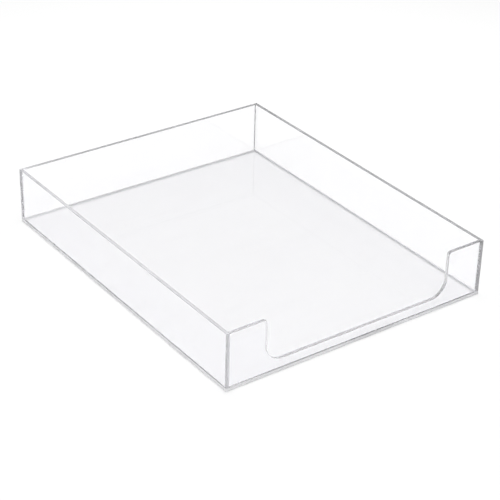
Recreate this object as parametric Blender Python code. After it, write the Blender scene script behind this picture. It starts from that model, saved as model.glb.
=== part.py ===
"""Clear letter tray: five flat acrylic sheets, cemented edge to face into an open box.

Metres, +Z up. +X runs to the right along the front and +Y runs to the back. The origin is on the
underside, in the middle of the footprint. Each sheet is drawn flat, as it is cut, with its
thickness along +Z, and is then laid down or stood up where it belongs.
"""

import math

import bmesh
import bpy
from mathutils import Vector

# Overall size, over the outer faces.
TRAY_WIDTH = 0.256
TRAY_DEPTH = 0.318
TRAY_HEIGHT = 0.0515

# Sheets.
BASE_THICKNESS = 0.003
WALL_THICKNESS = 0.003

# The cement line between two bonded sheets.
JOINT_GAP = 0.0003

# The cut-out in the front sheet. A tab's width is measured from the tray's outer side face, and
# the lip's height from the top of the base.
TAB_WIDTH = 0.0375
LIP_HEIGHT = 0.009
TAB_CORNER_RADIUS = 0.0035
CUTOUT_CORNER_RADIUS = 0.015
ARC_STEPS = 10

# The arris that polishing takes off each exposed edge. Bonded edges stay square.
EDGE_ROUND = 0.0003
EDGE_SEGMENTS = 2
SHARP_ANGLE = math.radians(30)
SAME_DIRECTION = 0.999

# Finish of the acrylic.
ACRYLIC_COLOUR = (0.93, 0.94, 0.97, 1.0)
ACRYLIC_ROUGHNESS = 0.04
ACRYLIC_METALLIC = 0.0
ACRYLIC_IOR = 1.49

# Directions in a sheet's own drawing.
LOWER_EDGE = Vector((0, -1, 0))
LEFT_EDGE = Vector((-1, 0, 0))
RIGHT_EDGE = Vector((1, 0, 0))
UPPER_FACE = Vector((0, 0, 1))

# What the sizes above leave for the sheets.
WALL_FOOT = BASE_THICKNESS + JOINT_GAP
WALL_HEIGHT = TRAY_HEIGHT - WALL_FOOT
INNER_HALF_WIDTH = TRAY_WIDTH / 2 - WALL_THICKNESS
INNER_HALF_DEPTH = TRAY_DEPTH / 2 - WALL_THICKNESS
CROSS_WALL_LENGTH = 2 * (INNER_HALF_WIDTH - JOINT_GAP)


def clear_scene():
    for existing in list(bpy.data.objects):
        bpy.data.objects.remove(existing, do_unlink=True)


def clear_acrylic(name):
    """A material of its own for one sheet."""
    material = bpy.data.materials.new(name + "_acrylic")
    material.use_nodes = True
    shader = material.node_tree.nodes["Principled BSDF"]
    shader.inputs["Base Color"].default_value = ACRYLIC_COLOUR
    shader.inputs["Roughness"].default_value = ACRYLIC_ROUGHNESS
    shader.inputs["Metallic"].default_value = ACRYLIC_METALLIC
    shader.inputs["Transmission Weight"].default_value = 1.0
    shader.inputs["IOR"].default_value = ACRYLIC_IOR
    return material


def corner_points(before, corner, after, radius):
    """The corner itself, or the arc of that radius that rounds it off, inwards or outwards."""
    if radius <= 0:
        return [corner]
    towards_before = (before - corner).normalized()
    towards_after = (after - corner).normalized()
    half_angle = towards_before.angle(towards_after) / 2
    middle = (towards_before + towards_after).normalized()
    centre = corner + middle * radius / math.sin(half_angle)
    start = corner + towards_before * radius / math.tan(half_angle) - centre
    end = corner + towards_after * radius / math.tan(half_angle) - centre
    spokes = [start.slerp(end, step / ARC_STEPS) for step in range(ARC_STEPS + 1)]
    return [centre + spoke.normalized() * radius for spoke in spokes]


def outline(corners):
    """The points of a closed outline, given its corners counter-clockwise as x, y and radius."""
    places = [Vector((x, y)) for x, y, _ in corners]
    points = []
    for index, (_, _, radius) in enumerate(corners):
        before = places[index - 1]
        after = places[(index + 1) % len(places)]
        points += corner_points(before, places[index], after, radius)
    return points


def rectangle(left, right, bottom, top):
    return [(left, bottom, 0), (right, bottom, 0), (right, top, 0), (left, top, 0)]


def faces_along(face, directions):
    return any(face.normal.dot(direction) > SAME_DIRECTION for direction in directions)


def mark_polished_edges(mesh, bonded_sides):
    """Gives a bevel weight to each sharp edge that touches no bonded side of the sheet."""
    weight = mesh.edges.layers.float.new("bevel_weight_edge")
    for edge in mesh.edges:
        is_sharp = edge.calc_face_angle() > SHARP_ANGLE
        is_bonded = any(faces_along(face, bonded_sides) for face in edge.link_faces)
        if is_sharp and not is_bonded:
            edge[weight] = 1.0


def cut_sheet(name, corners, thickness, bonded_sides, tray):
    """One flat sheet, cut to its outline, with its exposed edges polished round."""
    sheet = bmesh.new()
    rim = [sheet.verts.new((point.x, point.y, 0)) for point in outline(corners)]
    lower_face = sheet.faces.new(rim)
    extruded = bmesh.ops.extrude_face_region(sheet, geom=[lower_face], use_keep_orig=True)
    raised = [item for item in extruded["geom"] if isinstance(item, bmesh.types.BMVert)]
    bmesh.ops.translate(sheet, verts=raised, vec=UPPER_FACE * thickness)
    bmesh.ops.recalc_face_normals(sheet, faces=sheet.faces)
    mark_polished_edges(sheet, bonded_sides)
    mesh = bpy.data.meshes.new(name)
    sheet.to_mesh(mesh)
    sheet.free()
    mesh.shade_smooth()
    mesh.set_sharp_from_angle(angle=SHARP_ANGLE)
    mesh.materials.append(clear_acrylic(name))

    panel = bpy.data.objects.new(name, mesh)
    bpy.context.scene.collection.objects.link(panel)
    panel.parent = tray
    polish = panel.modifiers.new("polished_edges", "BEVEL")
    polish.limit_method = "WEIGHT"
    polish.width = EDGE_ROUND
    polish.segments = EDGE_SEGMENTS
    return panel


def stand_up(panel, turn, inner_face):
    """Stands a wall on the base, with its outer face out, at that distance from the middle."""
    outwards = Vector((math.sin(turn), -math.cos(turn), 0))
    panel.rotation_euler = (math.radians(90), 0, turn)
    panel.location = outwards * inner_face + Vector((0, 0, WALL_FOOT))


def make_base(tray):
    half_width = TRAY_WIDTH / 2
    half_depth = TRAY_DEPTH / 2
    corners = rectangle(-half_width, half_width, -half_depth, half_depth)
    cut_sheet("base_panel", corners, BASE_THICKNESS, [UPPER_FACE], tray)


def make_side_walls(tray):
    """The two side walls run the full depth of the tray."""
    corners = rectangle(-TRAY_DEPTH / 2, TRAY_DEPTH / 2, 0, WALL_HEIGHT)
    for name, turn in (("left_side_panel", -90), ("right_side_panel", 90)):
        panel = cut_sheet(name, corners, WALL_THICKNESS, [LOWER_EDGE], tray)
        stand_up(panel, math.radians(turn), INNER_HALF_WIDTH)


def make_back_wall(tray):
    """The back wall fits between the side walls."""
    half_length = CROSS_WALL_LENGTH / 2
    corners = rectangle(-half_length, half_length, 0, WALL_HEIGHT)
    bonded_sides = [LOWER_EDGE, LEFT_EDGE, RIGHT_EDGE]
    panel = cut_sheet("back_panel", corners, WALL_THICKNESS, bonded_sides, tray)
    stand_up(panel, math.radians(180), INNER_HALF_DEPTH)


def make_front_wall(tray):
    """The front wall fits between the side walls. Its cut-out leaves two tabs and a low lip."""
    half_length = CROSS_WALL_LENGTH / 2
    half_cutout = TRAY_WIDTH / 2 - TAB_WIDTH
    lip = LIP_HEIGHT - JOINT_GAP
    cutout_radius = min(CUTOUT_CORNER_RADIUS, WALL_HEIGHT - lip - TAB_CORNER_RADIUS)
    corners = [
        (-half_length, 0, 0),
        (half_length, 0, 0),
        (half_length, WALL_HEIGHT, 0),
        (half_cutout, WALL_HEIGHT, TAB_CORNER_RADIUS),
        (half_cutout, lip, cutout_radius),
        (-half_cutout, lip, cutout_radius),
        (-half_cutout, WALL_HEIGHT, TAB_CORNER_RADIUS),
        (-half_length, WALL_HEIGHT, 0),
    ]
    bonded_sides = [LOWER_EDGE, LEFT_EDGE, RIGHT_EDGE]
    panel = cut_sheet("front_panel", corners, WALL_THICKNESS, bonded_sides, tray)
    stand_up(panel, 0.0, INNER_HALF_DEPTH)


def main():
    clear_scene()
    tray = bpy.data.objects.new("letter_tray", None)
    bpy.context.scene.collection.objects.link(tray)
    make_base(tray)
    make_side_walls(tray)
    make_back_wall(tray)
    make_front_wall(tray)


main()
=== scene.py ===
"""Clear letter tray: the finished look of five acrylic sheets, cemented into an open box.

Metres, +Z up. The front, with its cut-out, faces -Y, and the underside rests on the floor at
Z = 0. Each sheet is a closed body of its own. Where two sheets meet, their faces are bonded:
light passes a bonded face as if the acrylic went on, as it does in a good solvent joint.
"""

import math

import bmesh
import bpy
from bpy.props import FloatProperty, FloatVectorProperty, IntProperty, PointerProperty
from bpy.types import Operator, Panel, PropertyGroup
from mathutils import Matrix, Vector


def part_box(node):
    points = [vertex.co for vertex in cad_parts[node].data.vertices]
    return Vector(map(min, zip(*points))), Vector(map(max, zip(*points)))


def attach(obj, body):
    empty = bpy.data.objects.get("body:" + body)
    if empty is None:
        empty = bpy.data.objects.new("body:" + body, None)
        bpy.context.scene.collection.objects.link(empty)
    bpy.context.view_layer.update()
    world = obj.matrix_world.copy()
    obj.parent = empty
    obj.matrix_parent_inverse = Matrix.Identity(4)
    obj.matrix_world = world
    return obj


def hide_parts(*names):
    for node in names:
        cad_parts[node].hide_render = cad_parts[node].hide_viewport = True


bl_info = {
    "name": "Clear Letter Tray",
    "version": (1, 0, 0),
    "blender": (4, 5, 0),
    "location": "3D View > Sidebar > Letter Tray",
    "description": "Builds a clear acrylic letter tray, sheet by sheet, with its studio",
    "category": "Mesh",
}

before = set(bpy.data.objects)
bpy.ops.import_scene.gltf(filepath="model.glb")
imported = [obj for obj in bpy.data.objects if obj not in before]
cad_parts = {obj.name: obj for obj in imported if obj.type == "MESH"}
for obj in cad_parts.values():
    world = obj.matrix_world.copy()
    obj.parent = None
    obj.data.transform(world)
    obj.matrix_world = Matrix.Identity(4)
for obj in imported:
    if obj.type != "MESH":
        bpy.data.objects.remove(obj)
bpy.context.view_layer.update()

BODY = "root"
MILLIMETRE = 0.001

# Where the sheets are, from the frame.
BASE_LOW, BASE_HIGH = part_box("base_panel")
LEFT_LOW, LEFT_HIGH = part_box("left_side_panel")
RIGHT_LOW, RIGHT_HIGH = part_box("right_side_panel")
BACK_LOW, BACK_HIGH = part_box("back_panel")
FRONT_LOW, FRONT_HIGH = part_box("front_panel")
INNER_LEFT = LEFT_HIGH.x
INNER_RIGHT = RIGHT_LOW.x
INNER_FRONT = FRONT_HIGH.y
INNER_BACK = BACK_LOW.y
BASE_TOP = BASE_HIGH.z

# How near a vertex or a face is to the plane that it is looked for on, and how much of a unit
# normal points one way on a flat face, and at least on a slanting one.
TOUCH = 0.00001
SAME_DIRECTION = 0.999
SLANTED = 0.1
SMOOTH_ANGLE = math.radians(40)
NEARLY_FLAT = math.radians(1)
FLAT_FACE_WEIGHT = 100

X_AXIS = Vector((1, 0, 0))
Y_AXIS = Vector((0, 1, 0))
Z_AXIS = Vector((0, 0, 1))

# The places of a sheet's finishes in its material slots. The polished face comes first, at 0.
CUT_EDGE = 1
BONDED_FACE = 2
JOINT_LINE = 3

# The sheets' clouded patterns: how large their patches are, and the part of the noise's range
# over which each one comes in.
WAVE_SIZE = 60 * MILLIMETRE
WAVE_DEPTH = 0.01 * MILLIMETRE
WIPE_SIZE = 8 * MILLIMETRE
WIPE_STRETCH = (6, 1, 1)
WIPE_RANGE = (0.45, 0.8)
EDGE_PATCH_SIZE = 40 * MILLIMETRE
EDGE_PATCH_RANGE = (0.35, 0.7)
RIPPLE_SIZE = 1.5 * MILLIMETRE
RIPPLE_DEPTH = 0.001 * MILLIMETRE
WETTED_SIZE = 5 * MILLIMETRE
WETTED_RANGE = (0.35, 0.65)
BUBBLE_SPACING = 2.5 * MILLIMETRE
BUBBLE_RADIUS_RANGE = (0.06, 0.16)
BUBBLE_PATCH_SIZE = 6 * MILLIMETRE
BUBBLE_PATCH_RANGE = (0.5, 0.6)

# Roughness of each finish, and how much its pattern changes it.
FACE_ROUGHNESS = 0.004
WIPED_ROUGHNESS = 0.02
FROSTED_ROUGHNESS = 0.23
FLAME_POLISHED_ROUGHNESS = 0.18
RIPPLED_ROUGHNESS = 0.05
JOINT_LINE_ROUGHNESS = 0.4
WETTED_ROUGHNESS = 0.15
FLOOR_ROUGHNESS = 0.9

# The share of its brightness that a tint has where its pattern is, or at the left side, where the
# joint line is painted brighter as painted light.
WIPED_SHADE = 0.985
EDGE_PATCH_SHADE = 0.93
LEFT_JOINT_PAINTED_LIGHT = 2.0
WETTED_SHADE = 1.3
BUBBLE_SHADE = 0.8

# A refractive index of 1 bends no light, so that the acrylic seems to go on through a joint.
BOND_IOR = 1.0

# The studio: what counts as overhead and as wall, by the upward part of a direction.
WALL_RISE = (0.05, 0.3)
OVERHEAD_RISE = (0.6, 0.85)
FLOOR_VERTICES = 64
SENSOR_WIDTH = 36.0
VIEW_REACH = 100.0
SHEET_BOUNCES = 96
CLEAR_BOUNCES = 32


# ---------------------------------------------------------------------------- settings


class TraySizes(PropertyGroup):
    """Sizes that the frame's boxes don't give."""

    bond_gap: FloatProperty(
        name="Bond thickness",
        description="Space between two bonded faces",
        default=0.02 * MILLIMETRE,
        unit="LENGTH",
    )
    edge_round: FloatProperty(
        name="Edge round",
        description="Arris that polishing takes off each exposed edge",
        default=0.3 * MILLIMETRE,
        unit="LENGTH",
    )
    edge_segments: IntProperty(
        name="Edge segments",
        description="Strips across each rounded edge",
        default=3,
        min=1,
    )
    joint_notch: FloatProperty(
        name="Joint notch",
        description="Narrow slant along the inner side of a joint, which makes its line show",
        default=0.15 * MILLIMETRE,
        unit="LENGTH",
    )
    back_corner_notch: FloatProperty(
        name="Back corner notch",
        description="The same slant in the two back corners, where the line shows wider",
        default=0.8 * MILLIMETRE,
        unit="LENGTH",
    )
    tab_width: FloatProperty(
        name="Tab width",
        description="Width of a front tab, from the tray's outer side face",
        default=37.5 * MILLIMETRE,
        unit="LENGTH",
    )
    lip_height: FloatProperty(
        name="Lip height",
        description="Height of the front lip above the base",
        default=9.0 * MILLIMETRE,
        unit="LENGTH",
    )
    tab_radius: FloatProperty(
        name="Tab corner radius",
        description="Round on the upper corner of each front tab",
        default=3.5 * MILLIMETRE,
        unit="LENGTH",
    )
    cutout_radius: FloatProperty(
        name="Cut-out corner radius",
        description="Round on each lower corner of the front cut-out",
        default=15.0 * MILLIMETRE,
        unit="LENGTH",
    )
    arc_segments: IntProperty(
        name="Arc segments",
        description="Straight steps in each round corner",
        default=24,
        min=1,
    )


class TrayColours(PropertyGroup):
    """Tints of the acrylic, with the painted light and shade on its edges, and how clear its
    edges are.
    """

    face_tint: FloatVectorProperty(
        name="Face tint",
        description="What the polished faces let through",
        subtype="COLOR",
        size=4,
        default=(0.99, 0.989, 0.998, 1.0),
        min=0,
        max=1,
    )
    wall_edge_tint: FloatVectorProperty(
        name="Wall edge tint",
        description="What the rims and the upright edges of the walls let through",
        subtype="COLOR",
        size=4,
        default=(0.47, 0.47, 0.48, 1.0),
        min=0,
        max=1,
    )
    # Painted light: the wall edges and joint lines are painted paler towards the tray's left
    # side.
    left_painted_light_tint: FloatVectorProperty(
        name="Left edge tint",
        description="Paler tint that the edges take towards the left side, for the look alone",
        subtype="COLOR",
        size=4,
        default=(0.8, 0.8, 0.82, 1.0),
        min=0,
        max=1,
    )
    front_edge_tint: FloatVectorProperty(
        name="Front edge tint",
        description="What the flame-polished edges of the front wall let through",
        subtype="COLOR",
        size=4,
        default=(0.72, 0.72, 0.73, 1.0),
        min=0,
        max=1,
    )
    base_edge_tint: FloatVectorProperty(
        name="Base edge tint",
        description="What the edges of the base let through",
        subtype="COLOR",
        size=4,
        default=(0.99, 0.99, 1.0, 1.0),
        min=0,
        max=1,
    )
    bond_tint: FloatVectorProperty(
        name="Bond tint",
        description="What the cement line lets through",
        subtype="COLOR",
        size=4,
        default=(0.96, 0.96, 0.97, 1.0),
        min=0,
        max=1,
    )
    joint_line_tint: FloatVectorProperty(
        name="Joint line tint",
        description="What the fine line along the inner side of a joint lets through",
        subtype="COLOR",
        size=4,
        default=(0.36, 0.36, 0.37, 1.0),
        min=0,
        max=1,
    )
    wall_edge_clearness: FloatProperty(
        name="Wall edge clearness",
        description="How much light the frosted edges of the walls let in, rather than scatter",
        default=0.6,
        min=0,
        max=1,
    )
    front_edge_clearness: FloatProperty(
        name="Front edge clearness",
        description="How much light the edges of the front wall let in, rather than scatter",
        default=0.75,
        min=0,
        max=1,
    )
    base_edge_clearness: FloatProperty(
        name="Base edge clearness",
        description="How much light the frosted edges of the base let in, rather than scatter",
        default=0.5,
        min=0,
        max=1,
    )
    # Painted light: how far the paler tint painted at the left side reaches.
    painted_light_reach: FloatProperty(
        name="Left reach",
        description="How far from the tray's left side the left edge tint fades out",
        default=25.0 * MILLIMETRE,
        unit="LENGTH",
    )
    # Painted shade: the front wall's edges are painted darker towards the tray's right corner.
    corner_shade_reach: FloatProperty(
        name="Corner reach",
        description="How far from the tray's right side the front wall's edges start to darken",
        default=50.0 * MILLIMETRE,
        unit="LENGTH",
    )
    acrylic_ior: FloatProperty(
        name="Refractive index",
        description="Refractive index of cast acrylic",
        default=1.49,
        min=1,
        max=3,
    )


class StageSettings(PropertyGroup):
    """The floor, the light and the camera."""

    floor_colour: FloatVectorProperty(
        name="Floor",
        description="Colour of the floor",
        subtype="COLOR",
        size=4,
        default=(0.8, 0.8, 0.8, 1.0),
        min=0,
        max=1,
    )
    floor_drop: FloatProperty(
        name="Floor drop",
        description="How far the floor lies below the underside",
        default=0.2 * MILLIMETRE,
        unit="LENGTH",
    )
    floor_radius: FloatProperty(
        name="Floor radius",
        description="How far the floor reaches",
        default=20.0,
        unit="LENGTH",
    )
    # Painted shade: the floor is painted darker away from the tray, towards the horizon.
    fade_start: FloatProperty(
        name="Fade start",
        description="Distance from the tray at which the floor starts to darken",
        default=0.45,
        unit="LENGTH",
    )
    fade_end: FloatProperty(
        name="Fade end",
        description="Distance from the tray at which the floor is as dark as the horizon",
        default=1.3,
        unit="LENGTH",
    )
    painted_far_shade: FloatProperty(
        name="Far shade",
        description="How much of its brightness the floor keeps at the horizon",
        default=0.7,
        min=0,
        max=1,
    )
    overhead_light: FloatProperty(
        name="Overhead light",
        description="Brightness of the soft light overhead",
        default=2.2,
        min=0,
    )
    surrounding_light: FloatProperty(
        name="Surrounding light",
        description="Brightness of the studio's walls",
        default=0.45,
        min=0,
    )
    horizon_light: FloatProperty(
        name="Horizon light",
        description="Brightness of the studio where it meets the floor",
        default=0.7,
        min=0,
    )
    focal_length: FloatProperty(
        name="Focal length",
        description="Focal length of the camera, in millimetres",
        default=114.05,
        min=1,
    )
    camera_azimuth: FloatProperty(
        name="Camera azimuth",
        description="Direction that the camera stands in, from the front",
        default=math.radians(-36.324),
        subtype="ANGLE",
    )
    camera_elevation: FloatProperty(
        name="Camera elevation",
        description="Height of the camera, as an angle above the floor",
        default=math.radians(29.963),
        subtype="ANGLE",
    )
    camera_roll: FloatProperty(
        name="Camera roll",
        description="Turn of the camera about its own line of sight",
        default=math.radians(1.523),
        subtype="ANGLE",
    )
    camera_distance: FloatProperty(
        name="Camera distance",
        description="Distance from the camera to the point that it looks at",
        default=1.37527,
        unit="LENGTH",
    )
    camera_target: FloatVectorProperty(
        name="Camera target",
        description="Point on the floor that the camera looks at",
        size=3,
        default=(0.011601, 0.005, 0.0),
        subtype="TRANSLATION",
        unit="LENGTH",
    )


# ---------------------------------------------------------------------------- shader nodes


class Signal:
    """A number that changes over a surface: one output of a shader node."""

    def __init__(self, tree, socket):
        self.tree = tree
        self.socket = socket

    def calculate(self, operation, first, second):
        return self.tree.add("ShaderNodeMath", {"operation": operation}, {0: first, 1: second})

    def __add__(self, other):
        return self.calculate("ADD", self, other)

    def __radd__(self, other):
        return self.calculate("ADD", other, self)

    def __sub__(self, other):
        return self.calculate("SUBTRACT", self, other)

    def __rsub__(self, other):
        return self.calculate("SUBTRACT", other, self)

    def __mul__(self, other):
        return self.calculate("MULTIPLY", self, other)

    def __rmul__(self, other):
        return self.calculate("MULTIPLY", other, self)

    def ramp(self, start, end):
        """0 up to start, 1 from end on, and smooth between them."""
        settings = {"interpolation_type": "SMOOTHSTEP"}
        sockets = {"Value": self, "From Min": start, "From Max": end}
        return self.tree.add("ShaderNodeMapRange", settings, sockets, "Result")


class NodeTree:
    """Adds nodes to a material or a world."""

    def __init__(self, owner):
        owner.use_nodes = True
        self.nodes = owner.node_tree.nodes
        self.links = owner.node_tree.links

    def add(self, node_type, settings=None, sockets=None, output=0):
        """One node: its settings first, then its sockets' values or links. Returns an output."""
        node = self.nodes.new(node_type)
        for setting, value in (settings or {}).items():
            setattr(node, setting, value)
        for name, value in (sockets or {}).items():
            self.connect(node.inputs[name], value)
        return Signal(self, node.outputs[output])

    def connect(self, socket, value):
        if isinstance(value, Signal):
            self.links.new(value.socket, socket)
        else:
            socket.default_value = value

    def place(self):
        """The point on the surface, in metres in the tray's own frame."""
        return self.add("ShaderNodeTexCoord", output="Object")

    def part(self, place, axis):
        """One coordinate of a point."""
        return self.add("ShaderNodeSeparateXYZ", None, {"Vector": place}, axis)

    def noise(self, place, size, detail=2.0):
        """Cloudy noise whose patches are about as large as size."""
        sockets = {"Vector": place, "Scale": 1 / size, "Detail": detail}
        return self.add("ShaderNodeTexNoise", None, sockets, "Fac")

    def stretched(self, place, stretch):
        """The same point, with each direction divided by its share of stretch."""
        sockets = {"Vector": place, "Scale": [1 / share for share in stretch]}
        return self.add("ShaderNodeMapping", {"vector_type": "POINT"}, sockets)

    def blend(self, amount, first, second):
        """From the first colour to the second."""
        sockets = {"Factor": amount, 6: first, 7: second}
        return self.add("ShaderNodeMix", {"data_type": "RGBA"}, sockets, 2)

    def mottled(self, tint, patches, share):
        """The tint, at that share of its brightness where the patches are."""
        settings = {"data_type": "RGBA", "blend_type": "MULTIPLY"}
        shade = self.blend(patches, grey(1.0), grey(share))
        return self.add("ShaderNodeMix", settings, {"Factor": 1.0, 6: tint, 7: shade}, 2)

    def bump(self, height, depth):
        """Normals of a relief that is depth metres high where height is 1."""
        return self.add("ShaderNodeBump", None, {"Height": height, "Distance": depth})

    def surface(self):
        return self.nodes["Principled BSDF"].inputs


def shaded(colour, share):
    """The same colour at that share of its brightness."""
    return [part * share for part in colour[:3]] + [1.0]


def grey(share):
    """A plain grey, where 1 is white."""
    return (share, share, share, 1.0)


def clear_material(name, ior):
    """A new material that lets light through, and its nodes."""
    material = bpy.data.materials.new(name)
    tree = NodeTree(material)
    surface = tree.surface()
    surface["Transmission Weight"].default_value = 1.0
    surface["IOR"].default_value = ior
    surface["Metallic"].default_value = 0.0
    return material, tree


def polished_face_material(name):
    """Cast sheet, as it comes off the glass: glossy, faintly wavy, with a few wipe marks."""
    colours = bpy.context.scene.tray_colours
    material, tree = clear_material(name, colours.acrylic_ior)
    surface = tree.surface()
    place = tree.place()
    waves = tree.noise(place, WAVE_SIZE)
    wipes = tree.noise(tree.stretched(place, WIPE_STRETCH), WIPE_SIZE, detail=4.0)
    haze = wipes.ramp(*WIPE_RANGE)
    tint = tuple(colours.face_tint)
    tree.connect(surface["Base Color"], tree.mottled(tint, haze, WIPED_SHADE))
    tree.connect(surface["Roughness"], FACE_ROUGHNESS + haze * WIPED_ROUGHNESS)
    tree.connect(surface["Normal"], tree.bump(waves, WAVE_DEPTH))
    return material


def fade_from_left_painted_light(tree, place):
    """0 at the tray's left side, 1 away from it: where the painted light on the edges fades out.
    """
    reach = bpy.context.scene.tray_colours.painted_light_reach
    return tree.part(place, "X").ramp(BASE_LOW.x, BASE_LOW.x + reach)


def cut_edge_material(name, clearness, roughness, tint_along):
    """A cut edge with fine ripples. tint_along gives its tint, as a colour or from a place."""
    material, tree = clear_material(name, bpy.context.scene.tray_colours.acrylic_ior)
    surface = tree.surface()
    surface["Transmission Weight"].default_value = clearness
    place = tree.place()
    patches = tree.noise(place, EDGE_PATCH_SIZE, detail=3.0).ramp(*EDGE_PATCH_RANGE)
    ripples = tree.noise(place, RIPPLE_SIZE)
    tint = tint_along(tree, place)
    tree.connect(surface["Base Color"], tree.mottled(tint, patches, EDGE_PATCH_SHADE))
    tree.connect(surface["Roughness"], roughness + ripples * RIPPLED_ROUGHNESS)
    tree.connect(surface["Normal"], tree.bump(ripples, RIPPLE_DEPTH))
    return material


def wall_edge_material(name):
    """The edges of the side and back walls: frosted, and painted paler towards the left as
    painted light.
    """
    colours = bpy.context.scene.tray_colours

    def tint_along(tree, place):
        # Painted light: the edge tint is paler towards the tray's left side.
        left_light_colour = tuple(colours.left_painted_light_tint)
        return tree.blend(fade_from_left_painted_light(tree, place), left_light_colour, tuple(colours.wall_edge_tint))

    return cut_edge_material(name, colours.wall_edge_clearness, FROSTED_ROUGHNESS, tint_along)


def front_edge_material(name):
    """The edges of the front wall: flame polished, with painted shade that darkens them at the
    right corner.
    """
    colours = bpy.context.scene.tray_colours

    def tint_along(tree, place):
        # Painted shade: the edge tint darkens towards the tray's right corner.
        painted_corner_shade = tree.part(place, "X").ramp(BASE_HIGH.x - colours.corner_shade_reach, BASE_HIGH.x)
        corner_shade_tint = tuple(colours.wall_edge_tint)
        return tree.blend(painted_corner_shade, tuple(colours.front_edge_tint), corner_shade_tint)

    clearness = colours.front_edge_clearness
    return cut_edge_material(name, clearness, FLAME_POLISHED_ROUGHNESS, tint_along)


def base_edge_material(name):
    """The edges of the base: the most frosted ones."""
    colours = bpy.context.scene.tray_colours

    def tint_along(tree, place):
        return tuple(colours.base_edge_tint)

    return cut_edge_material(name, colours.base_edge_clearness, FROSTED_ROUGHNESS, tint_along)


def joint_line_material(name):
    """The narrow slant along a joint, toned dark and uneven so that the joint shows as a line,
    with painted light that makes it paler towards the left side.
    """
    colours = bpy.context.scene.tray_colours
    material, tree = clear_material(name, colours.acrylic_ior)
    surface = tree.surface()
    surface["Transmission Weight"].default_value = colours.wall_edge_clearness
    place = tree.place()
    wetted = tree.noise(place, WETTED_SIZE, detail=3.0).ramp(*WETTED_RANGE)
    tint = tuple(colours.joint_line_tint)
    # Painted light: the joint line is twice as bright at the tray's left side.
    tint_along = tree.blend(fade_from_left_painted_light(tree, place), shaded(tint, LEFT_JOINT_PAINTED_LIGHT), tint)
    tree.connect(surface["Base Color"], tree.mottled(tint_along, wetted, WETTED_SHADE))
    tree.connect(surface["Roughness"], JOINT_LINE_ROUGHNESS - wetted * WETTED_ROUGHNESS)
    return material


def bonded_face_material(name):
    """A cemented joint: clear right through, with a few trapped bubbles."""
    material, tree = clear_material(name, BOND_IOR)
    surface = tree.surface()
    place = tree.place()
    patches = tree.noise(place, BUBBLE_PATCH_SIZE, detail=3.0).ramp(*BUBBLE_PATCH_RANGE)
    sockets = {"Vector": place, "Scale": 1 / BUBBLE_SPACING, "Randomness": 1.0}
    nearest = tree.add("ShaderNodeTexVoronoi", {"feature": "F1"}, sockets, "Distance")
    bubbles = (1 - nearest.ramp(*BUBBLE_RADIUS_RANGE)) * patches
    tint = tuple(bpy.context.scene.tray_colours.bond_tint)
    tree.connect(surface["Base Color"], tree.mottled(tint, bubbles, BUBBLE_SHADE))
    surface["Roughness"].default_value = 0.0
    return material


# The finishes of each kind of sheet, in the order of its material slots.
WALL_FINISHES = {
    "polished_acrylic_face": polished_face_material,
    "frosted_wall_edge_painted_left_light": wall_edge_material,
    "solvent_bond": bonded_face_material,
    "joint_line": joint_line_material,
}
FRONT_FINISHES = {
    "polished_acrylic_face": polished_face_material,
    "flame_polished_front_edge_painted_shade": front_edge_material,
    "solvent_bond": bonded_face_material,
    "joint_line": joint_line_material,
}
BASE_FINISHES = {
    "polished_acrylic_face": polished_face_material,
    "frosted_base_edge": base_edge_material,
    "solvent_bond": bonded_face_material,
}


def finish_materials(finishes):
    """A sheet's materials, each made once for all sheets."""
    return [bpy.data.materials.get(name) or make(name) for name, make in finishes.items()]


# ---------------------------------------------------------------------------- modelling


def start_sheet(name, low, high, finishes):
    """A block of the sheet's outer size, with its place in its mesh."""
    bpy.ops.object.select_all(action="DESELECT")
    bpy.ops.mesh.primitive_cube_add(size=1, location=(low + high) / 2)
    sheet = bpy.context.object
    sheet.name = name
    sheet.data.name = name
    sheet.scale = high - low
    bpy.ops.object.transform_apply(location=True, rotation=True, scale=True)
    for material in finish_materials(finishes):
        sheet.data.materials.append(material)
    return sheet


def select_edges(sheet, wanted):
    """Selects, in edit mode, the edges whose two ends pass the test, and no others."""
    bpy.ops.mesh.select_mode(type="EDGE")
    bpy.ops.mesh.select_all(action="DESELECT")
    shape = bmesh.from_edit_mesh(sheet.data)
    for edge in shape.edges:
        edge.select_set(wanted(edge.verts[0].co, edge.verts[1].co))
    bmesh.update_edit_mesh(sheet.data)


def select_faces(sheet, wanted):
    """Selects, in edit mode, the faces whose middle and normal pass the test, and no others."""
    bpy.ops.mesh.select_mode(type="FACE")
    bpy.ops.mesh.select_all(action="DESELECT")
    shape = bmesh.from_edit_mesh(sheet.data)
    for face in shape.faces:
        face.select_set(wanted(face.calc_center_median(), face.normal))
    bmesh.update_edit_mesh(sheet.data)


def cut_across(place, direction):
    """Cuts the whole shape along a plane, without taking anything away."""
    bpy.ops.mesh.select_all(action="SELECT")
    bpy.ops.mesh.bisect(plane_co=place, plane_no=direction)


def round_selected(radius, segments):
    bpy.ops.mesh.bevel(
        offset_type="OFFSET",
        offset=radius,
        segments=segments,
        affect="EDGES",
        clamp_overlap=False,
    )


def near(value, *places):
    return any(abs(value - place) < TOUCH for place in places)


def polish(sheet, wanted):
    """Rounds the exposed edges, as polishing does."""
    sizes = bpy.context.scene.tray_sizes
    select_edges(sheet, wanted)
    round_selected(sizes.edge_round, sizes.edge_segments)


def notch(sheet, size, wanted):
    """Breaks the edges along the inner side of a joint, which then shows as a fine line."""
    select_edges(sheet, wanted)
    round_selected(size, 1)


def slants(part):
    """Whether one part of a normal is that of a slanting face."""
    return SLANTED < abs(part) < SAME_DIRECTION


def is_foot_notch(middle, normal):
    return normal.z < 0 and slants(normal.z)


def finish_face(sheet, wanted, finish):
    """Gives the faces that pass the test their finish."""
    select_faces(sheet, wanted)
    sheet.active_material_index = finish
    bpy.ops.object.material_slot_assign()


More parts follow.
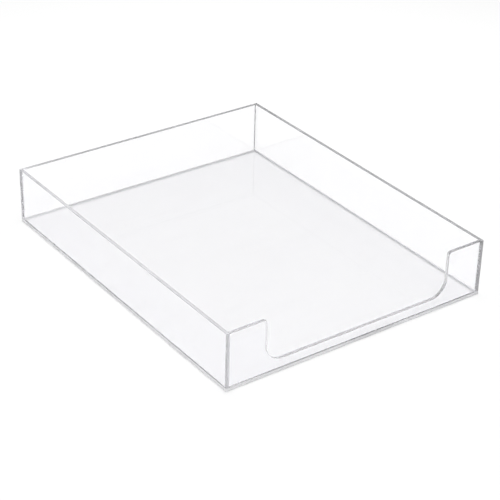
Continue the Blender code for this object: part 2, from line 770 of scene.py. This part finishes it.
def finish_sheet(sheet, node):
    """Smooths the rounded edges, keeps the flat faces flat, and places the sheet."""
    bpy.ops.mesh.select_all(action="SELECT")
    bpy.ops.mesh.normals_make_consistent(inside=False)
    bpy.ops.object.mode_set(mode="OBJECT")
    bpy.ops.object.shade_smooth_by_angle(angle=SMOOTH_ANGLE)
    bpy.ops.object.modifier_add(type="WEIGHTED_NORMAL")
    sheet.modifiers[-1].keep_sharp = True
    sheet.modifiers[-1].weight = FLAT_FACE_WEIGHT
    bpy.ops.object.modifier_apply(modifier=sheet.modifiers[-1].name)
    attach(sheet, BODY)
    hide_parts(node)


def make_base_sheet():
    """The base: its edges are polished all round, and its rim is bonded to the walls."""
    low = BASE_LOW.copy()
    high = BASE_HIGH.copy()
    sheet = start_sheet("base_sheet", low, high, BASE_FINISHES)
    bpy.ops.object.mode_set(mode="EDIT")

    def is_exposed(start, end):
        is_underside = near(start.z, low.z) and near(end.z, low.z)
        is_corner = abs(start.z - end.z) > TOUCH
        return is_underside or is_corner

    polish(sheet, is_exposed)
    for x in (INNER_LEFT, INNER_RIGHT):
        cut_across((x, 0, 0), X_AXIS)
    for y in (INNER_FRONT, INNER_BACK):
        cut_across((0, y, 0), Y_AXIS)

    def is_under_wall(middle, normal):
        is_inside = INNER_LEFT < middle.x < INNER_RIGHT and INNER_FRONT < middle.y < INNER_BACK
        return normal.z > SAME_DIRECTION and not is_inside

    finish_face(sheet, lambda middle, normal: abs(normal.z) < SAME_DIRECTION, CUT_EDGE)
    finish_face(sheet, is_under_wall, BONDED_FACE)
    finish_sheet(sheet, "base_panel")


def make_side_sheet(name, node, node_low, node_high, outer, inner):
    """A side wall: full depth, with the cross walls bonded to the ends of its inner face."""
    gap = bpy.context.scene.tray_sizes.bond_gap
    low = Vector((node_low.x, node_low.y, BASE_TOP + gap))
    high = node_high.copy()
    sheet = start_sheet(name, low, high, WALL_FINISHES)
    bpy.ops.object.mode_set(mode="EDIT")

    def is_inner_foot(start, end):
        return all(near(point.z, low.z) and near(point.x, inner) for point in (start, end))

    notch(sheet, bpy.context.scene.tray_sizes.joint_notch, is_inner_foot)

    def is_exposed(start, end):
        is_top = near(start.z, high.z) and near(end.z, high.z)
        is_upright = abs(start.z - end.z) > TOUCH
        return is_top or (is_upright and near(start.x, outer))

    polish(sheet, is_exposed)
    for y in (INNER_FRONT, INNER_BACK):
        cut_across((0, y, 0), Y_AXIS)

    def is_bonded(middle, normal):
        is_foot = normal.z < -SAME_DIRECTION
        is_inner_face = near(middle.x, inner) and abs(normal.x) > SAME_DIRECTION
        return is_foot or (is_inner_face and not INNER_FRONT < middle.y < INNER_BACK)

    finish_face(sheet, lambda middle, normal: abs(normal.x) < SAME_DIRECTION, CUT_EDGE)
    finish_face(sheet, is_bonded, BONDED_FACE)
    finish_face(sheet, is_foot_notch, JOINT_LINE)
    finish_sheet(sheet, node)


def cross_wall_space(node_low, node_high):
    """The space between the side walls and above the base, for the front or the back wall."""
    gap = bpy.context.scene.tray_sizes.bond_gap
    low = Vector((INNER_LEFT + gap, node_low.y, BASE_TOP + gap))
    high = Vector((INNER_RIGHT - gap, node_high.y, node_high.z))
    return low, high


def notch_ends(sheet, low, high, inner, size):
    """Notches the inner side of a cross wall's two ends."""

    def is_inner_end(start, end):
        is_inner = near(start.y, inner) and near(end.y, inner)
        return is_inner and near(start.x, low.x, high.x) and near(end.x, start.x)

    notch(sheet, size, is_inner_end)


def finish_cross_wall(sheet, low, high, node):
    """The cut edges, then the foot and both ends, which are bonded, and the joints' lines."""
    notch_start = high.x - bpy.context.scene.tray_sizes.back_corner_notch

    def is_bonded(middle, normal):
        is_end = near(middle.x, low.x, high.x) and abs(normal.x) > SAME_DIRECTION
        return is_end or normal.z < -SAME_DIRECTION

    def is_end_notch(middle, normal):
        return abs(middle.x) > notch_start and slants(normal.x) and slants(normal.y)

    finish_face(sheet, lambda middle, normal: abs(normal.y) < SAME_DIRECTION, CUT_EDGE)
    finish_face(sheet, is_bonded, BONDED_FACE)
    finish_face(sheet, is_foot_notch, JOINT_LINE)
    finish_face(sheet, is_end_notch, JOINT_LINE)
    finish_sheet(sheet, node)


def make_back_sheet():
    """The back wall, plain, between the side walls."""
    low, high = cross_wall_space(BACK_LOW, BACK_HIGH)
    sheet = start_sheet("back_wall", low, high, WALL_FINISHES)
    bpy.ops.object.mode_set(mode="EDIT")

    sizes = bpy.context.scene.tray_sizes
    notch_ends(sheet, low, high, INNER_BACK, sizes.back_corner_notch)

    def is_inner_foot(start, end):
        return all(near(point.z, low.z) and near(point.y, INNER_BACK) for point in (start, end))

    notch(sheet, sizes.joint_notch, is_inner_foot)

    def is_exposed(start, end):
        is_top = near(start.z, high.z) and near(end.z, high.z)
        return is_top and near(start.y, end.y)

    polish(sheet, is_exposed)
    finish_cross_wall(sheet, low, high, "back_panel")


def make_front_sheet():
    """The front wall: a low lip with a tab drawn up at each end, and its corners rounded."""
    sizes = bpy.context.scene.tray_sizes
    low, high = cross_wall_space(FRONT_LOW, FRONT_HIGH)
    lip = BASE_TOP + sizes.lip_height
    cutout = (BASE_LOW.x + sizes.tab_width, BASE_HIGH.x - sizes.tab_width)
    sheet = start_sheet("front_wall", low, Vector((high.x, high.y, lip)), FRONT_FINISHES)
    bpy.ops.object.mode_set(mode="EDIT")
    for x in cutout:
        cut_across((x, 0, 0), X_AXIS)

    def is_under_tab(middle, normal):
        return normal.z > SAME_DIRECTION and not cutout[0] < middle.x < cutout[1]

    select_faces(sheet, is_under_tab)
    rise = (0, 0, high.z - lip)
    bpy.ops.mesh.extrude_region_move(TRANSFORM_OT_translate={"value": rise})
    bpy.ops.mesh.select_all(action="SELECT")
    bpy.ops.mesh.dissolve_limited(angle_limit=NEARLY_FLAT)

    def runs_through(start, end):
        return abs(start.y - end.y) > TOUCH and near(start.x, *cutout)

    for height, radius in ((high.z, sizes.tab_radius), (lip, sizes.cutout_radius)):
        select_edges(sheet, lambda a, b: runs_through(a, b) and near(a.z, height))
        round_selected(radius, sizes.arc_segments)

    notch_ends(sheet, low, high, INNER_FRONT, sizes.joint_notch)
    ends = (low.x, low.x + sizes.joint_notch, high.x - sizes.joint_notch, high.x)

    def is_exposed(start, end):
        is_outline = near(start.y, end.y)
        is_foot = near(start.z, low.z) and near(end.z, low.z)
        is_end = near(start.x, *ends) and near(end.x, start.x)
        return is_outline and not is_foot and not is_end

    polish(sheet, is_exposed)
    finish_cross_wall(sheet, low, high, "front_panel")


# ---------------------------------------------------------------------------- stage


def make_floor():
    """A pale floor, just below the tray's underside, with painted shade that darkens it away from
    the tray.
    """
    stage = bpy.context.scene.stage_settings
    bpy.ops.object.select_all(action="DESELECT")
    bpy.ops.mesh.primitive_circle_add(
        vertices=FLOOR_VERTICES,
        radius=stage.floor_radius,
        fill_type="NGON",
        location=(0, 0, -stage.floor_drop),
    )
    floor = bpy.context.object
    floor.name = "studio_floor"
    bpy.ops.object.transform_apply(location=True, rotation=True, scale=True)
    material = bpy.data.materials.new("pale_floor")
    tree = NodeTree(material)
    surface = tree.surface()
    place = tree.place()
    distance = tree.add("ShaderNodeVectorMath", {"operation": "LENGTH"}, {0: place}, "Value")
    # Painted shade: the floor darkens with distance from the tray.
    far = distance.ramp(stage.fade_start, stage.fade_end)
    colour = tuple(stage.floor_colour)
    tree.connect(surface["Base Color"], tree.blend(far, colour, shaded(colour, stage.painted_far_shade)))
    surface["Roughness"].default_value = FLOOR_ROUGHNESS
    surface["Specular IOR Level"].default_value = 0.0
    floor.data.materials.append(material)


def light_studio():
    """A soft light overhead, grey walls round it, and a horizon as pale as the floor."""
    stage = bpy.context.scene.stage_settings
    world = bpy.data.worlds.new("soft_studio")
    bpy.context.scene.world = world
    tree = NodeTree(world)
    direction = tree.add("ShaderNodeTexCoord", output="Generated")
    height = tree.part(direction, "Z")
    walls = height.ramp(*WALL_RISE)
    overhead = height.ramp(*OVERHEAD_RISE)
    strength = stage.horizon_light + walls * (stage.surrounding_light - stage.horizon_light)
    strength = strength + overhead * (stage.overhead_light - stage.surrounding_light)
    tree.connect(tree.nodes["Background"].inputs["Color"], (1.0, 1.0, 1.0, 1.0))
    tree.connect(tree.nodes["Background"].inputs["Strength"], strength)


def place_camera():
    """The camera, above and to the left of the front."""
    stage = bpy.context.scene.stage_settings
    azimuth = stage.camera_azimuth
    elevation = stage.camera_elevation
    level = math.cos(elevation)
    back = Vector((math.sin(azimuth) * level, -math.cos(azimuth) * level, math.sin(elevation)))
    right = Z_AXIS.cross(back).normalized()
    up = back.cross(right)
    turned = Matrix((right, up, back)).transposed() @ Matrix.Rotation(stage.camera_roll, 3, "Z")
    data = bpy.data.cameras.new("camera")
    data.lens = stage.focal_length
    data.sensor_width = SENSOR_WIDTH
    data.clip_end = VIEW_REACH
    camera = bpy.data.objects.new("camera", data)
    bpy.context.scene.collection.objects.link(camera)
    place = Vector(stage.camera_target) + back * stage.camera_distance
    camera.matrix_world = Matrix.Translation(place) @ turned.to_4x4()
    bpy.context.scene.camera = camera


def let_light_through():
    """Enough bounces for light that runs the length of a sheet, and plain colours."""
    scene = bpy.context.scene
    scene.cycles.max_bounces = SHEET_BOUNCES
    scene.cycles.glossy_bounces = SHEET_BOUNCES
    scene.cycles.transmission_bounces = SHEET_BOUNCES
    scene.cycles.transparent_max_bounces = CLEAR_BOUNCES
    scene.cycles.blur_glossy = 0.0
    scene.view_settings.view_transform = "Standard"


# ---------------------------------------------------------------------------- operators


class MakeBase(Operator):
    """Make the base sheet"""

    bl_idname = "letter_tray.make_base"
    bl_label = "Base Sheet"
    bl_options = {"REGISTER", "UNDO"}

    def execute(self, context):
        make_base_sheet()
        return {"FINISHED"}


class MakeSideWalls(Operator):
    """Make the two side walls"""

    bl_idname = "letter_tray.make_side_walls"
    bl_label = "Side Walls"
    bl_options = {"REGISTER", "UNDO"}

    def execute(self, context):
        make_side_sheet(
            "left_wall", "left_side_panel", LEFT_LOW, LEFT_HIGH, LEFT_LOW.x, LEFT_HIGH.x
        )
        make_side_sheet(
            "right_wall", "right_side_panel", RIGHT_LOW, RIGHT_HIGH, RIGHT_HIGH.x, RIGHT_LOW.x
        )
        return {"FINISHED"}


class MakeBackWall(Operator):
    """Make the back wall"""

    bl_idname = "letter_tray.make_back_wall"
    bl_label = "Back Wall"
    bl_options = {"REGISTER", "UNDO"}

    def execute(self, context):
        make_back_sheet()
        return {"FINISHED"}


class MakeFrontWall(Operator):
    """Make the front wall with its cut-out"""

    bl_idname = "letter_tray.make_front_wall"
    bl_label = "Front Wall"
    bl_options = {"REGISTER", "UNDO"}

    def execute(self, context):
        make_front_sheet()
        return {"FINISHED"}


class SetStage(Operator):
    """Set up the floor, the light and the camera"""

    bl_idname = "letter_tray.set_stage"
    bl_label = "Stage"
    bl_options = {"REGISTER", "UNDO"}

    def execute(self, context):
        make_floor()
        light_studio()
        place_camera()
        let_light_through()
        return {"FINISHED"}


class LetterTrayPanel(Panel):
    """The tray's operators and settings"""

    bl_idname = "VIEW3D_PT_letter_tray"
    bl_label = "Letter Tray"
    bl_space_type = "VIEW_3D"
    bl_region_type = "UI"
    bl_category = "Letter Tray"

    def draw(self, context):
        for operator in OPERATORS:
            self.layout.operator(operator.bl_idname)
        for settings in (
            context.scene.tray_sizes,
            context.scene.tray_colours,
            context.scene.stage_settings,
        ):
            column = self.layout.column(align=True)
            for name in settings.__annotations__:
                column.prop(settings, name)


OPERATORS = (MakeBase, MakeSideWalls, MakeBackWall, MakeFrontWall, SetStage)
CLASSES = (TraySizes, TrayColours, StageSettings, *OPERATORS, LetterTrayPanel)


def register():
    for each in CLASSES:
        bpy.utils.register_class(each)
    bpy.types.Scene.tray_sizes = PointerProperty(type=TraySizes)
    bpy.types.Scene.tray_colours = PointerProperty(type=TrayColours)
    bpy.types.Scene.stage_settings = PointerProperty(type=StageSettings)


def unregister():
    del bpy.types.Scene.stage_settings
    del bpy.types.Scene.tray_colours
    del bpy.types.Scene.tray_sizes
    for each in reversed(CLASSES):
        bpy.utils.unregister_class(each)


def main():
    """Makes the tray and its stage."""
    register()
    bpy.ops.letter_tray.make_base()
    bpy.ops.letter_tray.make_side_walls()
    bpy.ops.letter_tray.make_back_wall()
    bpy.ops.letter_tray.make_front_wall()
    bpy.ops.letter_tray.set_stage()


if __name__ == "__main__":
    main()
